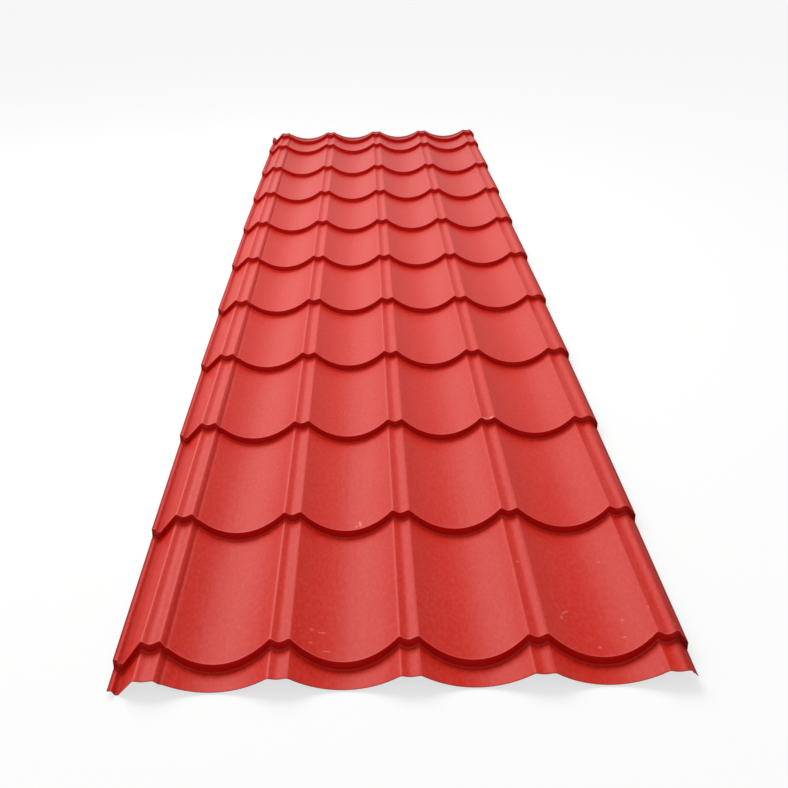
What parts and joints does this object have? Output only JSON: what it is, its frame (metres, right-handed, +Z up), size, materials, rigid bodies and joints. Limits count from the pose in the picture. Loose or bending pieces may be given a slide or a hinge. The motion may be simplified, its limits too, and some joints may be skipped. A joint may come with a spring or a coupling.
{
  "type": "tile effect metal roofing sheet",
  "caption": "Long painted steel roofing sheet rolled into shallow waves and pressed into steps, so that it looks like courses of roof tiles.",
  "frame": {"origin": "centre of the sheet's outline on the floor that it lies on", "axes": "+X across the sheet, from the gutter side lap to the plain side lap; +Y along it, from the foot (eaves) cut to the head (ridge) cut; +Z up, out of the weather side"},
  "size_m": [0.921, 3.4426, 0.0405],
  "materials": {
    "red_painted_steel": "satin coil coating"
  },
  "bodies": {
    "root": {"roofing_sheet": "red_painted_steel"}
  },
  "joints": []
}
